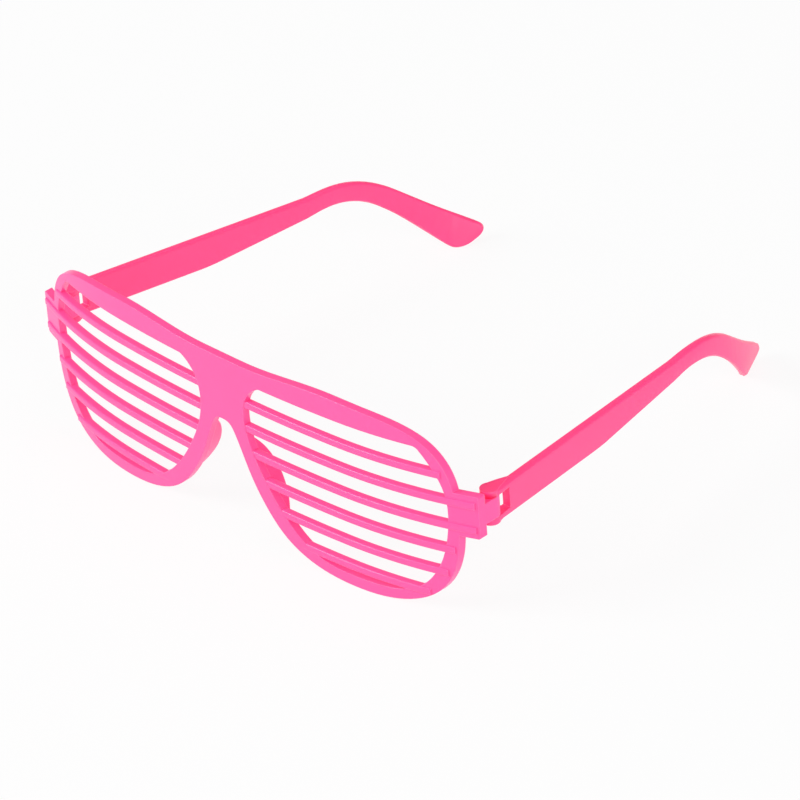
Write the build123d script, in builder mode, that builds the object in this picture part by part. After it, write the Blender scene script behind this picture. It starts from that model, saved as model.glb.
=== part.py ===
from build123d import *
from math import asin, atan2, cos, degrees, hypot, radians, sin, sqrt
import os

# Slatted party glasses: a curved front with six slats a side, and two arms on snap hinges.
# Lengths are in millimetres. The glasses stand on the rims and the arm tips, as on a table.

# Front, seen from ahead
front_width = 145.0
front_height = 49.2
rim_half_width = 68.5
front_thickness = 2.0
bridge_underside = 31.0
overrun = 20.0
rest_share = 0.57
half_width = front_width / 2

# Wrap of the front round the face: a wide arc in the middle and a tighter one at each end
middle_radius = 398.0
end_radius = 132.0
turn_across = 36.2

# Slats
slat_count = 6
slat_pitch_share = 0.1317
lowest_slat_share = 0.1057
slat_pitch = slat_pitch_share * front_height
lowest_slat = lowest_slat_share * front_height
slat_height = 1.85
slat_depth = 1.6
slat_rounding = 0.5
slat_stands_proud = 0.65
slat_turn = degrees(slat_stands_proud / half_width)
flush_inset = 0.25

# End pieces, which carry the hinges
lug_top = 33.6
lug_bottom = 22.4
lug_start = 63.9
lug_corner = 0.5
eye_corner = 2.2

# Nose pads: fins behind the rim of the nose notch
pad_thickness = 1.5
pad_reach = 6.6
pad_top = 29.0
pad_bottom = 8.5
pad_flare = 0.06
pad_drop = 4.5
pad_shoulder_share = 0.75

# Hinges: an upright knuckle on the front between two prongs of the arm
hinge_inset = 2.2
hinge_across = half_width - hinge_inset
hinge_setback = 4.70944
knuckle_radius = 2.2
knuckle_height = 5.3
slot_clearance = 0.1
slot_end_gap = 2.7
peg_radius = 0.7
peg_length = 1.3
peg_clearance = 0.05

# Arms, seen from the side
arm_height = 8.8
arm_underside = 23.8
arm_thickness = 2.4
arm_rounding = 0.6
taper_back = 56.0
taper_underside = 22.0
bend_back = 98.5
bend_rise = 26.3
neck_height = 4.7
tip_back = 126.0
tip_rise = 7.1
tip_radius = 3.8
tip_flat = 0.6
bend_rounding = 45.0
bend_hollow = 28.0
taper_rounding = 60.0

# Arms, seen from above
arm_offset = 1.0
bend_inward = 10.1
tip_inward = 23.5
arm_start_across = hinge_across + arm_offset
bend_across = hinge_across - bend_inward
tip_across = hinge_across - tip_inward
inward_back = 91.0
boss_length = 3.5
boss_waist = 1.0
boss_run_out = 6.5

lug_middle = (lug_start + half_width) / 2

# Half of the front's outline, as shares of rim half width and height, from the bridge round to the nose notch
outline_shares = (
    (0.15, 0.974),
    (0.45, 1.0),
    (0.63, 0.990),
    (0.79, 0.960),
    (0.892, 0.892),
    (0.955, 0.770),
    (0.980, 0.610),
    (0.985, 0.447),
    (0.966, 0.277),
    (0.904, 0.126),
    (0.788, 0.034),
    (0.570, 0.0),
    (0.394, 0.030),
    (0.263, 0.116),
    (0.175, 0.248),
    (0.120, 0.374),
    (0.079, 0.504),
    (0.049, 0.592),
)


# The eye opening, from the outer end of its straight top edge round to the inner end
opening_shares = (
    (0.850, 0.888),
    (0.893, 0.813),
    (0.943, 0.671),
    (0.947, 0.467),
    (0.912, 0.274),
    (0.832, 0.126),
    (0.584, 0.058),
    (0.394, 0.093),
    (0.266, 0.228),
    (0.171, 0.415),
    (0.112, 0.610),
    (0.114, 0.772),
    (0.190, 0.888),
)


# Where each slat starts inside the nose side and ends over the rim, from the lowest up
slat_start_shares = (0.31, 0.20, 0.145, 0.10, 0.085, 0.085)
slat_end_shares = (0.865, 0.935, 0.965, 1.043, 1.043, 0.930)


def front_at(share_across, share_up):
    """A point of the front, seen from ahead."""
    return (share_across * rim_half_width, share_up * front_height)


turn = asin(turn_across / middle_radius)
centre_shift = middle_radius - end_radius
end_centre = (centre_shift * sin(turn), middle_radius - centre_shift * cos(turn))


def behind_face(across, depth):
    """The point at a depth behind the face, square to it, seen from above."""
    if across > turn_across:
        centre, radius = end_centre, end_radius
    else:
        centre, radius = (0, middle_radius), middle_radius
    aside = across - centre[0]
    ahead = sqrt(radius**2 - aside**2)
    share = (radius - depth) / radius
    return (centre[0] + aside * share, centre[1] - ahead * share)


# The hinge's axis stands behind the end piece, wherever that lies
hinge_back = behind_face(hinge_across, front_thickness)[1] + hinge_setback

# The direction in which the arm runs from its bend to the tip, as back and up
reach = hypot(tip_back - bend_back, tip_rise - bend_rise)
along = ((tip_back - bend_back) / reach, (tip_rise - bend_rise) / reach)
across_arm = (-along[1], along[0])

# The glasses stand tipped back a little, so that the rims and the arm tips share the table
tip_clearance = tip_rise - (tip_radius - tip_flat) - tip_flat * (along[0] - along[1])
rest_back = behind_face(rest_share * rim_half_width, front_thickness)[1]
lean = -degrees(atan2(tip_clearance, tip_back - rest_back))
set_back = bridge_underside * sin(radians(lean)) - tip_back - tip_radius
stance = Location((0, set_back / 2, -rest_back * sin(radians(lean))), (lean, 0, 0))
level = Plane(stance)
facing = Plane(stance * Plane.XZ.location)
sideways = Plane(stance * Plane.YZ.location)

# The line of the nose pad along the notch, from its root under the bridge down
pad_line_shares = (
    (0.074, 0.600),
    (0.102, 0.504),
    (0.143, 0.374),
    (0.201, 0.248),
    (0.285, 0.135),
)


arm_top = arm_underside + arm_height
slot_end = hinge_back + knuckle_radius + slot_end_gap


def at_tip(side):
    """A corner of the squared-off tip, above or below its middle line."""
    return (
        tip_back + tip_radius * (along[0] + side * across_arm[0]),
        tip_rise + tip_radius * (along[1] + side * across_arm[1]),
    )


# Corners of the arm seen from the side, as distance back and height
arm_side = (
    (hinge_back, arm_top),
    (bend_back + neck_height * across_arm[0] / 2, bend_rise + neck_height * across_arm[1] / 2),
    at_tip(1),
    at_tip(-1),
    (bend_back - neck_height * across_arm[0] / 2, bend_rise - neck_height * across_arm[1] / 2),
    (taper_back, taper_underside),
    (hinge_back, arm_underside),
)


def band(start, end, near, far):
    """A band that follows the face between two depths behind it, seen from above."""
    halfway = (start + turn_across) / 2
    beyond = (end + turn_across) / 2
    with BuildLine(Plane.XY) as edges:
        for depth in (near, far):
            at_turn = behind_face(turn_across, depth)
            ThreePointArc(behind_face(start, depth), behind_face(halfway, depth), at_turn)
            ThreePointArc(at_turn, behind_face(beyond, depth), behind_face(end, depth))
        Line(behind_face(start, near), behind_face(start, far))
        Line(behind_face(end, near), behind_face(end, far))
    make_face(edges.line)


knuckle_bottom = arm_underside + (arm_height - knuckle_height) / 2
knuckle_top = knuckle_bottom + knuckle_height

with BuildPart() as slatted_front:
    # The curved plate, as a band seen from above
    with BuildSketch(level.offset(-overrun)):
        band(0, half_width + overrun / 4, 0, front_thickness)
        mirror(about=Plane.YZ)
    extrude(amount=front_height + 2 * overrun)
    # Trimmed to the outline with its end pieces and eye openings
    with BuildSketch(facing) as outline:
        with BuildLine():
            bridge_top = (0, front_height * outline_shares[0][1])
            bridge_below = (0, bridge_underside)
            rim = [front_at(*shares) for shares in outline_shares]
            Spline(bridge_top, *rim, bridge_below, tangents=((1, 0), (-1, 0)))
            Line(bridge_top, bridge_below)
        make_face()
        with Locations((lug_middle, (lug_top + lug_bottom) / 2)):
            Rectangle(half_width - lug_start, lug_top - lug_bottom)
        at_lug = outline.vertices().filter_by(lambda corner: corner.X > lug_middle - lug_corner)
        fillet(at_lug, lug_corner)
        with BuildSketch(mode=Mode.SUBTRACT) as eye:
            with BuildLine():
                eye_edge = Spline(*[front_at(*shares) for shares in opening_shares])
                Line(eye_edge @ 1, eye_edge @ 0)
            make_face()
            fillet(eye.vertices().group_by(Axis.Y)[-1], eye_corner)
        mirror(about=Plane.YZ)
    extrude(amount=overrun, both=True, mode=Mode.INTERSECT)
    # The slats start just under the face at the nose and stand proud where they run over the rim
    for row in range(slat_count):
        slat_foot = lowest_slat + row * slat_pitch - slat_height / 2
        start = slat_start_shares[row] * rim_half_width
        end = slat_end_shares[row] * rim_half_width
        with BuildPart(mode=Mode.PRIVATE) as slat:
            with BuildSketch(level.offset(slat_foot).rotated((0, 0, -slat_turn))):
                band(start, end, flush_inset, flush_inset + slat_depth)
            extrude(amount=slat_height)
            # The back edges are bevelled and the front ones rounded
            for depth, ease in ((flush_inset + slat_depth, chamfer), (flush_inset, fillet)):
                radii = (middle_radius - depth, end_radius - depth)
                curved = slat.edges().filter_by(GeomType.CIRCLE)
                edges = [arc for arc in curved if min(abs(arc.radius - radius) for radius in radii) < flush_inset]
                ease(edges, slat_rounding)
        add(slat.part)
        add(mirror(slat.part, about=Plane.YZ, mode=Mode.PRIVATE))
    # The knuckle stands behind the end piece and is bored for the arm's two pegs
    with BuildSketch(level.offset(knuckle_bottom)):
        with Locations((hinge_across, hinge_back)):
            Circle(knuckle_radius)
        with BuildLine():
            root = behind_face(hinge_across, front_thickness / 2)
            Polyline(
                (hinge_across - knuckle_radius, hinge_back),
                (hinge_across - knuckle_radius, root[1] - knuckle_radius / 2),
                (hinge_across + knuckle_radius, root[1] + knuckle_radius / 2),
                (hinge_across + knuckle_radius, hinge_back),
                close=True,
            )
        make_face()
        mirror(about=Plane.YZ)
    extrude(amount=knuckle_height)
    with BuildSketch(level.offset(knuckle_bottom)):
        with Locations((hinge_across, hinge_back), (-hinge_across, hinge_back)):
            Circle(peg_radius + peg_clearance)
    extrude(amount=knuckle_height, mode=Mode.SUBTRACT)
    # The nose pad: a fin along the notch that flares outward to the rear
    with BuildPart(mode=Mode.PRIVATE) as pad:
        with BuildSketch(facing):
            with BuildLine():
                fin_line = Spline(*[front_at(*shares) for shares in pad_line_shares])
            trace(fin_line, pad_thickness)
        extrude(amount=pad_reach, dir=tuple(facing.x_dir * pad_flare - facing.z_dir))
        with BuildSketch(sideways):
            with BuildLine():
                Spline(
                    (front_thickness / 2, pad_top),
                    (pad_reach * pad_shoulder_share, pad_top - pad_drop),
                    (pad_reach, (pad_top + pad_bottom) / 2),
                    (front_thickness / 2, pad_bottom),
                )
                Line((front_thickness / 2, pad_bottom), (front_thickness / 2, pad_top))
            make_face()
        extrude(amount=half_width, mode=Mode.INTERSECT)
    add(pad.part)
    add(mirror(pad.part, about=Plane.YZ, mode=Mode.PRIVATE))

with BuildPart() as right_temple:
    # The arm as it shows from the side, with its taper, ear bend and rounded tip
    with BuildSketch(sideways) as side:
        with BuildLine():
            Polyline(*arm_side, close=True)
        make_face()
        fillet(side.vertices().sort_by_distance(arm_side[1])[0], bend_rounding)
        fillet(side.vertices().sort_by_distance(arm_side[4])[0], bend_hollow)
        fillet(side.vertices().sort_by_distance(arm_side[5])[0], taper_rounding)
        fillet(side.vertices().sort_by_distance(arm_side[2])[0], tip_radius - tip_flat)
        fillet(side.vertices().sort_by_distance(arm_side[3])[0], tip_radius - tip_flat)
    extrude(amount=half_width + overrun)
    # Trimmed to its thin, inward curving form seen from above
    with BuildSketch(level.offset(-overrun)):
        with BuildLine() as middle_line:
            straight = Line((arm_start_across, hinge_back), (bend_across, inward_back))
            TangentArc(straight @ 1, (tip_across, tip_back), tangent=straight % 1)
            Line(middle_line.edges()[-1] @ 1, middle_line.edges()[-1] @ 1 + (middle_line.edges()[-1] % 1) * overrun)
        trace(middle_line.line, arm_thickness)
    extrude(amount=front_height + 2 * overrun, mode=Mode.INTERSECT)
    broad_sides = right_temple.faces().sort_by(SortBy.AREA)[-2:]
    chamfer(broad_sides.edges(), arm_rounding)
    # The hinge end is thicker on its inner side and rounded about the hinge
    with BuildSketch(level.offset(arm_underside)):
        with Locations((hinge_across, hinge_back)):
            Circle(knuckle_radius)
        with BuildLine():
            Polyline(
                (hinge_across - knuckle_radius, hinge_back),
                (hinge_across - knuckle_radius + boss_waist, hinge_back + boss_length),
                (hinge_across, hinge_back + boss_run_out),
                (hinge_across + knuckle_radius, hinge_back),
                close=True,
            )
        make_face()
    extrude(amount=arm_height)
    # The slot for the knuckle, open right through the arm
    with BuildSketch(sideways):
        with BuildLine():
            Polyline(
                (0, knuckle_bottom - slot_clearance),
                (slot_end, knuckle_bottom - slot_clearance),
                (slot_end, knuckle_top + slot_clearance),
                (0, knuckle_top + slot_clearance),
                close=True,
            )
        make_face()
    extrude(amount=half_width + overrun, mode=Mode.SUBTRACT)
    # Two pegs reach from the prongs into the knuckle
    for peg_start in (knuckle_bottom - slot_clearance, knuckle_top + slot_clearance - peg_length):
        with BuildSketch(level.offset(peg_start)):
            with Locations((hinge_across, hinge_back)):
                Circle(peg_radius)
        extrude(amount=peg_length)

with BuildPart() as left_temple:
    mirror(right_temple.part, about=Plane.YZ)

os.makedirs("parts", exist_ok=True)
for piece, name in (
    (slatted_front, "slatted_front"),
    (right_temple, "right_temple"),
    (left_temple, "left_temple"),
):
    piece.part.label = name
    export_step(piece.part, f"parts/{name}.step")
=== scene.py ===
import bmesh
import bpy
from math import asin, atan, cos, pi, radians, sin
from mathutils import Matrix, Vector


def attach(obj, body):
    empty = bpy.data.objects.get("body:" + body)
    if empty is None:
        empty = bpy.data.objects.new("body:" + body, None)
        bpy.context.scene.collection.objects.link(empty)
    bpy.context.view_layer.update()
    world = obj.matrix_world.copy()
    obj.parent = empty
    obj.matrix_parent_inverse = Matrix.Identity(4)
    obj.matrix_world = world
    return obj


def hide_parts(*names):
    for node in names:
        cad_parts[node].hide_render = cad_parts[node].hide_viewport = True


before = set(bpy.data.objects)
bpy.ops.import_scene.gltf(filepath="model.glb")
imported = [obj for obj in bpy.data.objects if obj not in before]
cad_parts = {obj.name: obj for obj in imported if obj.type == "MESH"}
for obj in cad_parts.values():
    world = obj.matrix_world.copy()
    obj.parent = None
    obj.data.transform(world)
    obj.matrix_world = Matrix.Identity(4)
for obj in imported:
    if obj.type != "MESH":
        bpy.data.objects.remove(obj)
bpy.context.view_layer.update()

# Slatted party glasses: one hot pink moulding with six slats a side, and two folding temples.
# Lengths are in metres in the CAD's frame, where the front faces -Y and the temples run to +Y.

MM = 0.001

# How the glasses stand: tipped back a little on rims and temple tips
LEAN = radians(-1.43806)
SET_BACK = -65.28899 * MM
LIFT = 0.09857 * MM

# The wrap of the front, seen from above: a wide arc in the middle and a tighter one at each end
RIM_HALF_WIDTH = 68.5 * MM
FRONT_HALF_WIDTH = 72.5 * MM
MIDDLE_RADIUS = 398.0 * MM
END_RADIUS = 132.0 * MM
TURN_ACROSS = 36.2 * MM

# The slats, from the lowest up
SLAT_PITCH = 6.4796 * MM
LOWEST_SLAT = 5.2004 * MM
SLAT_HEIGHT = 1.85 * MM
SLAT_DEPTH = 1.95 * MM
SLAT_ROUNDING = 0.4 * MM
SLAT_INSET = 0.25 * MM
SLAT_STANDS_PROUD = 0.65 * MM
SLAT_SKIN = 0.05 * MM
SLAT_STEPS = 72
ROUNDING_STEPS = 5
SLAT_START_SHARES = (0.31, 0.20, 0.145, 0.10, 0.085, 0.085)
SLAT_END_SHARES = (0.865, 0.935, 0.965, 1.043, 1.043, 0.930)

# The ear ends of the temples: the bend stands a little higher, the tip spreads, drops and ends on a slant
EAR_START = 84.0 * MM
EAR_END = 131.0 * MM
EAR_CUTS = 47
EAR_SPREAD = 2.0 * MM
EAR_BEND_BACK = 102.0 * MM
EAR_BEND_REACH = 21.0 * MM
EAR_RISE = 1.5 * MM
TIP_START = 109.0 * MM
TIP_DROP = 2.1 * MM
TIP_LONGER = 0.82 * MM
TIP_SLANT = 6.4 * MM
TIP_HALF_HEIGHT = 3.8 * MM
TIP_LINE_BACK = 98.5 * MM
TIP_LINE_RISE = 26.3 * MM
TIP_SLOPE = 0.698
EASE_POWER = 1.5
SMOOTH_ANGLE = radians(52)

# How finely the temples' mesh is merged and flattened before it is cut
MERGE_DISTANCE = 0.001 * MM
FLAT_ANGLE = radians(1)

# The camera, seen in the glasses' own upright frame
CAMERA_AZIMUTH = radians(47.54)
CAMERA_ELEVATION = radians(31.51)
CAMERA_ROLL = radians(-4.56)
CAMERA_OFFSET = Vector((40.7, 5.2, 1340.9)) * MM
CAMERA_AIM_HEIGHT = 29.885 * MM
CAMERA_LENS = 262.5
SENSOR_WIDTH = 36.0
CLIP_START = 0.05
CLIP_END = 20

# The studio: each lamp has its name, place, size and power
LAMPS = (
    ("key_lamp", (-1.0, -1.3, 1.0), 1.0, 27),
    ("fill_lamp", (1.7, -0.4, 0.6), 1.3, 20),
    ("top_lamp", (0.1, 0.4, 1.8), 1.4, 4),
)
LAMP_AIM = Vector((0, 0, 0.02))
WHITE = (1, 1, 1, 1)
ROOM_STRENGTH = 0.3
FLOOR_HALF_SIZE = 4.0
FLOOR_PAPER = (0.9, 0.9, 0.9, 1)
FLOOR_WHITE_SHARE = 0.9

# The plastic of both: how its edges round and are painted paler as a highlight, how its grain and clouding
# lie, how strongly it glows as painted light to lift its shade, and how far light sinks in
EDGE_RADIUS = 0.4 * MM
EDGE_SAMPLES = 8
# How strongly the edges are painted paler: a painted highlight
PAINTED_HIGHLIGHT_GAIN = 3.0
GRAIN_DISTANCE = 0.05 * MM
GRAIN_DEPTH = 0.12
GRAIN_SIZE = 900.0
GRAIN_DETAIL = 4
CLOUD_SIZE = 60.0
CLOUD_DETAIL = 3
CLOUD_AMOUNT = 0.4
POLISH_CHANGE = 0.1
# The painted glow: an emission that lifts the pink in the shade, though the plastic is no lamp
PAINTED_GLOW_STRENGTH = 0.3
PLASTIC_IOR = 1.5
DEPTH_WEIGHT = 0.15
DEPTH_RADII = (1.0, 0.35, 0.5)
DEPTH_SCALE = 1.5 * MM

# The two pinks: the front is a little cooler. Each edge colour is a painted highlight laid along the edges.
# The glow is painted light: an emission that brightens the pink in the shade, as if the plastic were lit
# there.
FRONT_PLASTIC = {
    "colour": (0.97, 0.072, 0.285),
    "cloud_colour": (0.97, 0.097, 0.335),
    "painted_highlight_colour": (1.0, 0.19, 0.43),
    "polish": 0.26,
    "painted_shade_glow": (1.0, 0.055, 0.24),
}
TEMPLE_PLASTIC = {
    "colour": (0.97, 0.06, 0.24),
    "cloud_colour": (0.97, 0.085, 0.29),
    "painted_highlight_colour": (1.0, 0.18, 0.40),
    "polish": 0.28,
    "painted_shade_glow": (1.0, 0.02, 0.10),
}


def stand():
    """The turn and shift from the glasses' own upright frame to the frame they stand in."""
    return Matrix.Translation((0, SET_BACK, LIFT)) @ Matrix.Rotation(LEAN, 4, "X")


def put_camera():
    """The camera at the photograph's viewing angle, with a long lens."""
    a, e, roll = CAMERA_AZIMUTH, CAMERA_ELEVATION, CAMERA_ROLL
    back = Vector((sin(a) * cos(e), -cos(a) * cos(e), sin(e)))
    level_right = Vector((cos(a), sin(a), 0))
    level_up = back.cross(level_right)
    right = cos(roll) * level_right + sin(roll) * level_up
    up = cos(roll) * level_up - sin(roll) * level_right
    x, y, z = CAMERA_OFFSET
    place = right * x + up * y + back * z + Vector((0, 0, CAMERA_AIM_HEIGHT))
    turn = Matrix((right, up, back)).transposed().to_4x4()
    data = bpy.data.cameras.new("photo_camera")
    data.lens = CAMERA_LENS
    data.sensor_width = SENSOR_WIDTH
    data.clip_start = CLIP_START
    data.clip_end = CLIP_END
    camera = bpy.data.objects.new("photo_camera", data)
    bpy.context.scene.collection.objects.link(camera)
    camera.matrix_world = stand() @ Matrix.Translation(place) @ turn
    bpy.context.scene.camera = camera


def group_socket(tree, name, kind, direction, value=None):
    """A named input or output of a node group, with its usual value."""
    socket = tree.interface.new_socket(name=name, in_out=direction, socket_type="NodeSocket" + kind)
    if value is not None:
        socket.default_value = value


def make_moulded_skin():
    """Shader group: the skin of moulded plastic, with flow clouding, fine polish marks and faint pits."""
    tree = bpy.data.node_groups.new("moulded_skin", "ShaderNodeTree")
    group_socket(tree, "Colour", "Color", "INPUT", (*FRONT_PLASTIC["colour"], 1))
    group_socket(tree, "Cloud colour", "Color", "INPUT", (*FRONT_PLASTIC["cloud_colour"], 1))
    group_socket(tree, "Cloud size", "Float", "INPUT", CLOUD_SIZE)
    group_socket(tree, "Cloud amount", "Float", "INPUT", CLOUD_AMOUNT)
    group_socket(tree, "Polish", "Float", "INPUT", FRONT_PLASTIC["polish"])
    group_socket(tree, "Polish change", "Float", "INPUT", POLISH_CHANGE)
    group_socket(tree, "Grain size", "Float", "INPUT", GRAIN_SIZE)
    group_socket(tree, "Colour", "Color", "OUTPUT")
    group_socket(tree, "Roughness", "Float", "OUTPUT")
    group_socket(tree, "Height", "Float", "OUTPUT")
    nodes, links = tree.nodes, tree.links
    given = nodes.new("NodeGroupInput")
    result = nodes.new("NodeGroupOutput")
    where = nodes.new("ShaderNodeTexCoord")
    cloud = nodes.new("ShaderNodeTexNoise")
    cloud.inputs["Detail"].default_value = CLOUD_DETAIL
    links.new(where.outputs["Object"], cloud.inputs["Vector"])
    links.new(given.outputs["Cloud size"], cloud.inputs["Scale"])
    share = nodes.new("ShaderNodeMath")
    share.operation = "MULTIPLY"
    links.new(cloud.outputs["Fac"], share.inputs[0])
    links.new(given.outputs["Cloud amount"], share.inputs[1])
    tint = nodes.new("ShaderNodeMix")
    tint.data_type = "RGBA"
    links.new(share.outputs[0], tint.inputs["Factor"])
    links.new(given.outputs["Colour"], tint.inputs["A"])
    links.new(given.outputs["Cloud colour"], tint.inputs["B"])
    links.new(tint.outputs["Result"], result.inputs["Colour"])
    polish = nodes.new("ShaderNodeMath")
    polish.operation = "MULTIPLY_ADD"
    links.new(cloud.outputs["Fac"], polish.inputs[0])
    links.new(given.outputs["Polish change"], polish.inputs[1])
    links.new(given.outputs["Polish"], polish.inputs[2])
    links.new(polish.outputs[0], result.inputs["Roughness"])
    grain = nodes.new("ShaderNodeTexNoise")
    grain.inputs["Detail"].default_value = GRAIN_DETAIL
    links.new(where.outputs["Object"], grain.inputs["Vector"])
    links.new(given.outputs["Grain size"], grain.inputs["Scale"])
    links.new(grain.outputs["Fac"], result.inputs["Height"])
    return tree


def make_soft_edges():
    """Shader group: rounds the shading of every moulded edge and gives the mask for a painted highlight,
    paler colour laid along each edge.
    """
    tree = bpy.data.node_groups.new("soft_edges", "ShaderNodeTree")
    group_socket(tree, "Height", "Float", "INPUT", 0.5)
    group_socket(tree, "Grain depth", "Float", "INPUT", GRAIN_DEPTH)
    group_socket(tree, "Painted highlight gain", "Float", "INPUT", PAINTED_HIGHLIGHT_GAIN)
    group_socket(tree, "Normal", "Vector", "OUTPUT")
    group_socket(tree, "Painted highlight", "Float", "OUTPUT")
    nodes, links = tree.nodes, tree.links
    given = nodes.new("NodeGroupInput")
    result = nodes.new("NodeGroupOutput")
    edge = nodes.new("ShaderNodeBevel")
    edge.samples = EDGE_SAMPLES
    edge.inputs["Radius"].default_value = EDGE_RADIUS
    bump = nodes.new("ShaderNodeBump")
    bump.inputs["Distance"].default_value = GRAIN_DISTANCE
    surface = nodes.new("ShaderNodeNewGeometry")
    lean = nodes.new("ShaderNodeVectorMath")
    lean.operation = "DOT_PRODUCT"
    turned = nodes.new("ShaderNodeMath")
    turned.operation = "SUBTRACT"
    turned.inputs[0].default_value = 1.0
    # The mask of the painted highlight: it grows where the rounded edge normal turns away from the true one
    painted_highlight = nodes.new("ShaderNodeMath")
    painted_highlight.operation = "MULTIPLY"
    painted_highlight.use_clamp = True
    links.new(edge.outputs["Normal"], bump.inputs["Normal"])
    links.new(given.outputs["Height"], bump.inputs["Height"])
    links.new(given.outputs["Grain depth"], bump.inputs["Strength"])
    links.new(bump.outputs["Normal"], result.inputs["Normal"])
    links.new(edge.outputs["Normal"], lean.inputs[0])
    links.new(surface.outputs["Normal"], lean.inputs[1])
    links.new(lean.outputs["Value"], turned.inputs[1])
    links.new(turned.outputs[0], painted_highlight.inputs[0])
    links.new(given.outputs["Painted highlight gain"], painted_highlight.inputs[1])
    links.new(painted_highlight.outputs[0], result.inputs["Painted highlight"])
    return tree


def make_plastic(name, skin, edges, colour, cloud_colour, painted_highlight_colour, polish, painted_shade_glow):
    """A hot pink plastic that takes its surface from the moulded skin and its edges from the soft edges,
    with paler colour painted along its edges as a highlight and a painted glow, an emission that lifts its
    shade.
    """
    material = bpy.data.materials.new(name)
    material.use_nodes = True
    nodes, links = material.node_tree.nodes, material.node_tree.links
    shader = nodes["Principled BSDF"]
    surface = nodes.new("ShaderNodeGroup")
    surface.node_tree = skin
    surface.inputs["Colour"].default_value = (*colour, 1)
    surface.inputs["Cloud colour"].default_value = (*cloud_colour, 1)
    surface.inputs["Polish"].default_value = polish
    edge = nodes.new("ShaderNodeGroup")
    edge.node_tree = edges
    # Paler colour painted along each edge: a painted highlight
    edge_highlight_mix = nodes.new("ShaderNodeMix")
    edge_highlight_mix.data_type = "RGBA"
    edge_highlight_mix.inputs["B"].default_value = (*painted_highlight_colour, 1)
    links.new(surface.outputs["Height"], edge.inputs["Height"])
    links.new(edge.outputs["Painted highlight"], edge_highlight_mix.inputs["Factor"])
    links.new(surface.outputs["Colour"], edge_highlight_mix.inputs["A"])
    links.new(edge_highlight_mix.outputs["Result"], shader.inputs["Base Color"])
    links.new(surface.outputs["Roughness"], shader.inputs["Roughness"])
    links.new(edge.outputs["Normal"], shader.inputs["Normal"])
    # Painted light: the plastic glows to brighten its shaded faces
    shader.inputs["Emission Color"].default_value = (*painted_shade_glow, 1)
    shader.inputs["Emission Strength"].default_value = PAINTED_GLOW_STRENGTH
    shader.inputs["IOR"].default_value = PLASTIC_IOR
    shader.inputs["Subsurface Weight"].default_value = DEPTH_WEIGHT
    shader.inputs["Subsurface Radius"].default_value = DEPTH_RADII
    shader.inputs["Subsurface Scale"].default_value = DEPTH_SCALE
    return material


def make_floor_paper():
    """The pale paper of the floor: it reads white to the camera and keeps the shadow."""
    material = bpy.data.materials.new("floor_paper")
    material.use_nodes = True
    nodes, links = material.node_tree.nodes, material.node_tree.links
    nodes.clear()
    result = nodes.new("ShaderNodeOutputMaterial")
    matte = nodes.new("ShaderNodeBsdfDiffuse")
    matte.inputs["Color"].default_value = FLOOR_PAPER
    bright = nodes.new("ShaderNodeEmission")
    bright.inputs["Strength"].default_value = 1.0
    rays = nodes.new("ShaderNodeLightPath")
    seen = nodes.new("ShaderNodeMath")
    seen.operation = "ADD"
    seen_all = nodes.new("ShaderNodeMath")
    seen_all.operation = "ADD"
    seen_all.use_clamp = True
    share = nodes.new("ShaderNodeMath")
    share.operation = "MULTIPLY"
    share.inputs[1].default_value = FLOOR_WHITE_SHARE
    blend = nodes.new("ShaderNodeMixShader")
    links.new(rays.outputs["Is Camera Ray"], seen.inputs[0])
    links.new(rays.outputs["Is Glossy Ray"], seen.inputs[1])
    links.new(seen.outputs[0], seen_all.inputs[0])
    links.new(rays.outputs["Is Transmission Ray"], seen_all.inputs[1])
    links.new(seen_all.outputs[0], share.inputs[0])
    links.new(share.outputs[0], blend.inputs["Fac"])
    links.new(matte.outputs["BSDF"], blend.inputs[1])
    links.new(bright.outputs["Emission"], blend.inputs[2])
    links.new(blend.outputs["Shader"], result.inputs["Surface"])
    return material


def lay_floor():
    """A wide plain floor under the glasses."""
    half = FLOOR_HALF_SIZE
    mesh = bpy.data.meshes.new("floor")
    corners = [(-half, -half, 0), (half, -half, 0), (half, half, 0), (-half, half, 0)]
    mesh.from_pydata(corners, [], [(0, 1, 2, 3)])
    floor = bpy.data.objects.new("floor", mesh)
    bpy.context.scene.collection.objects.link(floor)
    mesh.materials.append(make_floor_paper())


def hang_lamp(name, place, size, power):
    """A square soft lamp that faces the middle of the glasses."""
    data = bpy.data.lights.new(name, "AREA")
    data.shape = "SQUARE"
    data.size = size
    data.energy = power
    lamp = bpy.data.objects.new(name, data)
    bpy.context.scene.collection.objects.link(lamp)
    lamp.location = place
    aim = LAMP_AIM - Vector(place)
    lamp.rotation_euler = aim.to_track_quat("-Z", "Y").to_euler()


def light_the_studio():
    """Plain soft light: a large lamp over the camera's left, a fill at its right and a pale room."""
    for name, place, size, power in LAMPS:
        hang_lamp(name, place, size, power)
    world = bpy.data.worlds.new("studio_room")
    bpy.context.scene.world = world
    world.use_nodes = True
    sky = world.node_tree.nodes["Background"]
    sky.inputs["Color"].default_value = WHITE
    sky.inputs["Strength"].default_value = ROOM_STRENGTH


def dress(node, material):
    """Gives a CAD node its material in every slot."""
    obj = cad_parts[node]
    if not obj.data.materials:
        obj.data.materials.append(material)
    for slot in obj.material_slots:
        slot.material = material


def math_node(tree, operation, *values):
    """A Math node: each value is a number or the output that feeds it."""
    node = tree.nodes.new("ShaderNodeMath")
    node.operation = operation
    for socket, value in zip(node.inputs, values):
        if isinstance(value, bpy.types.NodeSocket):
            tree.links.new(value, socket)
        else:
            socket.default_value = value
    return node.outputs[0]


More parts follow.
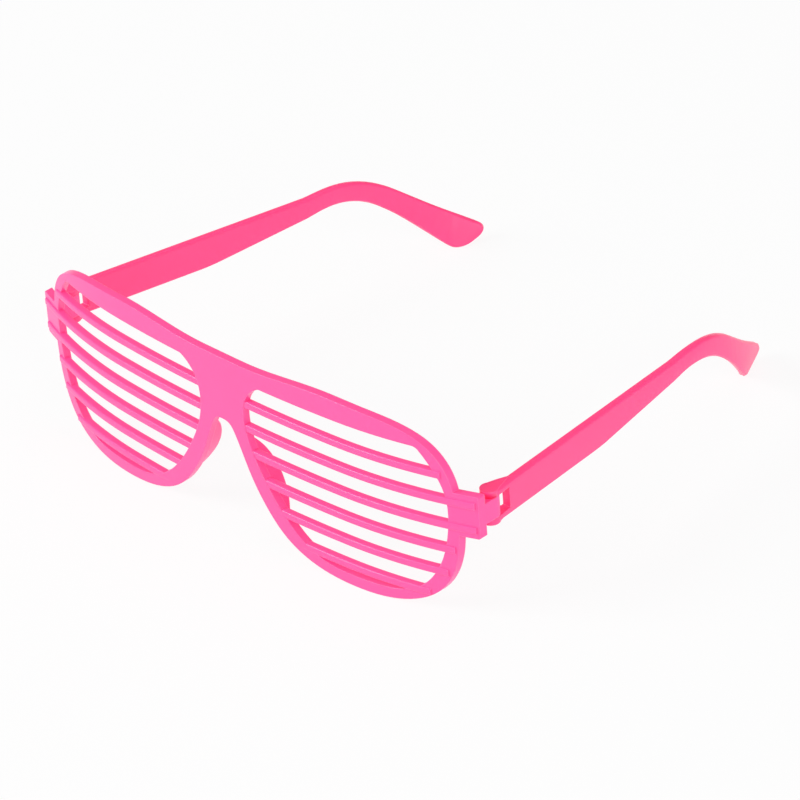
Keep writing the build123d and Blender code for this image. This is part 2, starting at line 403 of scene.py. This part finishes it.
def plant_slat_tree():
    """Geometry Nodes: each edge it is given becomes a slat that follows the wrap of the front."""
    tree = bpy.data.node_groups.new("slats_on_the_face", "GeometryNodeTree")
    group_socket(tree, "Geometry", "Geometry", "INPUT")
    for name, value in (
        ("Middle radius", MIDDLE_RADIUS), ("End radius", END_RADIUS), ("Turn across", TURN_ACROSS),
        ("Depth behind face", SLAT_INSET), ("Turn out", 0.0), ("Slat height", SLAT_HEIGHT),
        ("Slat depth", SLAT_DEPTH), ("Edge rounding", SLAT_ROUNDING), ("Lean", 0.0),
    ):
        group_socket(tree, name, "Float", "INPUT", value)
    group_socket(tree, "Set back", "Vector", "INPUT")
    group_socket(tree, "Steps", "Int", "INPUT", SLAT_STEPS)
    group_socket(tree, "Material", "Material", "INPUT")
    group_socket(tree, "Geometry", "Geometry", "OUTPUT")
    nodes, links = tree.nodes, tree.links
    given = nodes.new("NodeGroupInput").outputs
    result = nodes.new("NodeGroupOutput")

    # The edges become lines of even steps
    line = nodes.new("GeometryNodeMeshToCurve")
    stepped = nodes.new("GeometryNodeResampleCurve")
    links.new(given["Geometry"], line.inputs["Mesh"])
    links.new(line.outputs["Curve"], stepped.inputs["Curve"])
    links.new(given["Steps"], stepped.inputs["Count"])

    # How far back the face lies at each step: the middle arc, or the end arc beyond the turn
    place = nodes.new("GeometryNodeInputPosition")
    apart = nodes.new("ShaderNodeSeparateXYZ")
    links.new(place.outputs[0], apart.inputs[0])
    across = math_node(tree, "ABSOLUTE", apart.outputs["X"])
    side = math_node(tree, "SIGN", apart.outputs["X"])
    middle, end = given["Middle radius"], given["End radius"]
    turn = math_node(tree, "ARCSINE", math_node(tree, "DIVIDE", given["Turn across"], middle))
    shift = math_node(tree, "SUBTRACT", middle, end)
    end_x = math_node(tree, "MULTIPLY", shift, math_node(tree, "SINE", turn))
    end_drop = math_node(tree, "MULTIPLY", shift, math_node(tree, "COSINE", turn))
    end_y = math_node(tree, "SUBTRACT", middle, end_drop)

    def back_on_arc(centre_x, centre_y, radius):
        inner = math_node(tree, "SUBTRACT", radius, given["Depth behind face"])
        aside = math_node(tree, "SUBTRACT", across, centre_x)
        inner_square = math_node(tree, "MULTIPLY", inner, inner)
        aside_square = math_node(tree, "MULTIPLY", aside, aside)
        squares = math_node(tree, "SUBTRACT", inner_square, aside_square)
        return math_node(tree, "SUBTRACT", centre_y, math_node(tree, "SQRT", squares))

    beyond = math_node(tree, "GREATER_THAN", across, given["Turn across"])
    choose = nodes.new("ShaderNodeMix")
    links.new(beyond, choose.inputs["Factor"])
    links.new(back_on_arc(0.0, middle, middle), choose.inputs["A"])
    links.new(back_on_arc(end_x, end_y, end), choose.inputs["B"])
    on_face = nodes.new("ShaderNodeCombineXYZ")
    links.new(apart.outputs["X"], on_face.inputs["X"])
    links.new(choose.outputs["Result"], on_face.inputs["Y"])
    links.new(apart.outputs["Z"], on_face.inputs["Z"])
    turned = nodes.new("ShaderNodeVectorRotate")
    turned.rotation_type = "Z_AXIS"
    links.new(on_face.outputs[0], turned.inputs["Vector"])
    turn_out = math_node(tree, "MULTIPLY", given["Turn out"], side)
    links.new(math_node(tree, "MULTIPLY", turn_out, -1.0), turned.inputs["Angle"])
    laid = nodes.new("GeometryNodeSetPosition")
    links.new(stepped.outputs["Curve"], laid.inputs["Geometry"])
    links.new(turned.outputs["Vector"], laid.inputs["Position"])
    upright = nodes.new("GeometryNodeSetCurveNormal")
    upright.mode = "Z_UP"
    links.new(laid.outputs["Geometry"], upright.inputs["Curve"])

    # The section is a rectangle with rounded corners
    section = nodes.new("GeometryNodeCurvePrimitiveQuadrilateral")
    links.new(given["Slat depth"], section.inputs["Width"])
    links.new(given["Slat height"], section.inputs["Height"])
    rounded = nodes.new("GeometryNodeFilletCurve")
    rounded.mode = "POLY"
    rounded.inputs["Count"].default_value = ROUNDING_STEPS
    links.new(section.outputs["Curve"], rounded.inputs["Curve"])
    links.new(given["Edge rounding"], rounded.inputs["Radius"])
    swept = nodes.new("GeometryNodeCurveToMesh")
    swept.inputs["Fill Caps"].default_value = True
    links.new(upright.outputs["Curve"], swept.inputs["Curve"])
    links.new(rounded.outputs["Curve"], swept.inputs["Profile Curve"])

    # Leaned and set back as the front stands
    lean = nodes.new("ShaderNodeCombineXYZ")
    links.new(given["Lean"], lean.inputs["X"])
    stood = nodes.new("GeometryNodeTransform")
    links.new(swept.outputs["Mesh"], stood.inputs["Geometry"])
    links.new(given["Set back"], stood.inputs["Translation"])
    links.new(lean.outputs[0], stood.inputs["Rotation"])
    real = nodes.new("GeometryNodeRealizeInstances")
    coated = nodes.new("GeometryNodeSetMaterial")
    links.new(stood.outputs["Geometry"], real.inputs["Geometry"])
    links.new(real.outputs["Geometry"], coated.inputs["Geometry"])
    links.new(given["Material"], coated.inputs["Material"])
    links.new(coated.outputs["Geometry"], result.inputs["Geometry"])
    return tree


def mould_slats(material):
    """The twelve slats with their softly rounded edges, laid close over the plain ones of the front."""
    points, edges = [], []
    for row, (start_share, end_share) in enumerate(zip(SLAT_START_SHARES, SLAT_END_SHARES)):
        height = LOWEST_SLAT + row * SLAT_PITCH
        for side in (-1, 1):
            edges.append((len(points), len(points) + 1))
            points.append((side * start_share * RIM_HALF_WIDTH, 0, height))
            points.append((side * end_share * RIM_HALF_WIDTH, 0, height))
    lines = bpy.data.meshes.new("slat_lines")
    lines.from_pydata(points, edges, [])
    guide = bpy.data.objects.new("slat_lines", lines)
    bpy.context.scene.collection.objects.link(guide)
    tree = plant_slat_tree()
    growth = guide.modifiers.new("slats", "NODES")
    growth.node_group = tree
    sizes = {
        "Depth behind face": SLAT_INSET - SLAT_SKIN + SLAT_DEPTH / 2,
        "Turn out": asin(SLAT_STANDS_PROUD / FRONT_HALF_WIDTH),
        "Slat height": SLAT_HEIGHT + 2 * SLAT_SKIN,
        "Slat depth": SLAT_DEPTH,
        "Edge rounding": SLAT_ROUNDING,
        "Lean": LEAN,
        "Set back": (0, SET_BACK, LIFT),
        "Material": material,
    }
    for item in tree.interface.items_tree:
        if item.in_out == "INPUT" and item.name in sizes:
            growth[item.identifier] = sizes[item.name]
    graph = bpy.context.evaluated_depsgraph_get()
    mesh = bpy.data.meshes.new_from_object(guide.evaluated_get(graph))
    bpy.data.objects.remove(guide)
    slats = bpy.data.objects.new("slats", mesh)
    bpy.context.scene.collection.objects.link(slats)
    mesh.shade_smooth()
    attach(slats, "front")


def ease(value, start, end):
    """A share that starts softly from none and grows to all at the end."""
    share = min(max((value - start) / (end - start), 0), 1)
    return share ** EASE_POWER


def shape_ear_end(node, body, side, material):
    """A temple with its ear end eased to the worn shape: a copy of the plain one, cut finely and bent."""
    skin = bmesh.new()
    skin.from_mesh(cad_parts[node].data)
    bmesh.ops.remove_doubles(skin, verts=skin.verts, dist=MERGE_DISTANCE)
    bmesh.ops.dissolve_limit(skin, angle_limit=FLAT_ANGLE, verts=skin.verts, edges=skin.edges)
    bmesh.ops.transform(skin, matrix=stand().inverted(), verts=skin.verts)
    for cut in range(1, EAR_CUTS):
        back = EAR_START + (EAR_END - EAR_START) * cut / EAR_CUTS
        parts = skin.verts[:] + skin.edges[:] + skin.faces[:]
        bmesh.ops.bisect_plane(skin, geom=parts, plane_co=(0, back, 0), plane_no=(0, 1, 0))
    for point in skin.verts:
        back = point.co.y
        aside = min(abs(back - EAR_BEND_BACK) / EAR_BEND_REACH, 1)
        over_line = point.co.z - TIP_LINE_RISE + TIP_SLOPE * (back - TIP_LINE_BACK)
        low = min(max(0.5 - over_line * cos(atan(TIP_SLOPE)) / TIP_HALF_HEIGHT / 2, 0), 1)
        tip = ease(back, TIP_START, EAR_END)
        point.co.x += side * EAR_SPREAD * ease(back, EAR_START, EAR_END)
        point.co.y += tip * (TIP_LONGER - TIP_SLANT * low)
        point.co.z += EAR_RISE * (1 + cos(pi * aside)) / 2 - tip * TIP_DROP * (1 - low)
    bmesh.ops.transform(skin, matrix=stand(), verts=skin.verts)
    mesh = bpy.data.meshes.new(node + "_shaped")
    skin.to_mesh(mesh)
    skin.free()
    mesh.shade_smooth()
    mesh.set_sharp_from_angle(angle=SMOOTH_ANGLE)
    mesh.materials.clear()
    mesh.materials.append(material)
    rough = bpy.data.objects.new(node + "_cut", mesh)
    bpy.context.scene.collection.objects.link(rough)
    even = rough.modifiers.new("even_shading", "WEIGHTED_NORMAL")
    even.mode = "FACE_AREA_WITH_ANGLE"
    even.keep_sharp = True
    graph = bpy.context.evaluated_depsgraph_get()
    final = bpy.data.meshes.new_from_object(rough.evaluated_get(graph))
    bpy.data.objects.remove(rough)
    temple = bpy.data.objects.new(node + "_shaped", final)
    bpy.context.scene.collection.objects.link(temple)
    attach(temple, body)
    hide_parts(node)


put_camera()
light_the_studio()
lay_floor()
bpy.context.scene.view_settings.view_transform = "Standard"

moulded_skin = make_moulded_skin()
soft_edges = make_soft_edges()
front_pink = make_plastic("front_pink", moulded_skin, soft_edges, **FRONT_PLASTIC)
temple_pink = make_plastic("temple_pink", moulded_skin, soft_edges, **TEMPLE_PLASTIC)
dress("slatted_front", front_pink)
dress("right_temple", temple_pink)
dress("left_temple", temple_pink)
mould_slats(front_pink)
shape_ear_end("right_temple", "right_arm", 1, temple_pink)
shape_ear_end("left_temple", "left_arm", -1, temple_pink)
